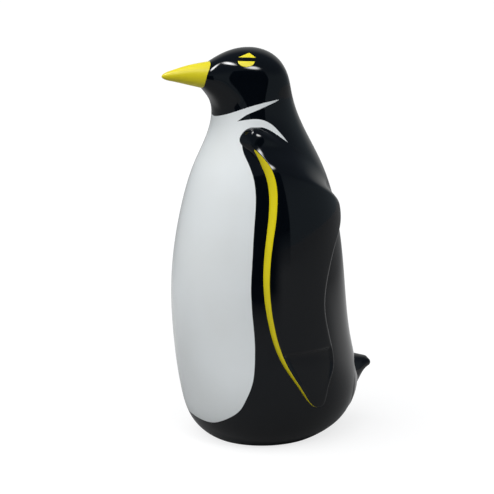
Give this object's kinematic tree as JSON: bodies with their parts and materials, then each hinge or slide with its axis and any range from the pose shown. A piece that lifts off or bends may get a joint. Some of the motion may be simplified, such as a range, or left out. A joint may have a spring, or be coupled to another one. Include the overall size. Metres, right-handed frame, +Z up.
{
  "type": "penguin figurine",
  "caption": "Standing penguin ornament with a hollow cast body, glued-on flippers, beak and tail, and a flat underside to rest on.",
  "frame": {"origin": "middle of the flat underside, on the closing plate", "axes": "+Z up, -Y the way the penguin faces, +X its left side"},
  "size_m": [0.1366, 0.1739, 0.2998],
  "materials": {
    "black_lacquer": "glossy black lacquer on cast resin, with a white painted front",
    "yellow_lacquer": "glossy yellow lacquer on cast resin",
    "plate": "matt black sheet, set into the rim",
    "pegs": "plain beech dowel"
  },
  "bodies": {
    "root": {"body_shell": "black_lacquer", "base_plate": "plate", "left_flipper": "black_lacquer", "right_flipper": "black_lacquer", "left_flipper_dowels": "pegs", "right_flipper_dowels": "pegs", "beak": "yellow_lacquer", "beak_dowel": "pegs", "tail": "black_lacquer", "tail_dowel": "pegs", "left_eye": "yellow_lacquer", "right_eye": "yellow_lacquer"}
  },
  "joints": []
}
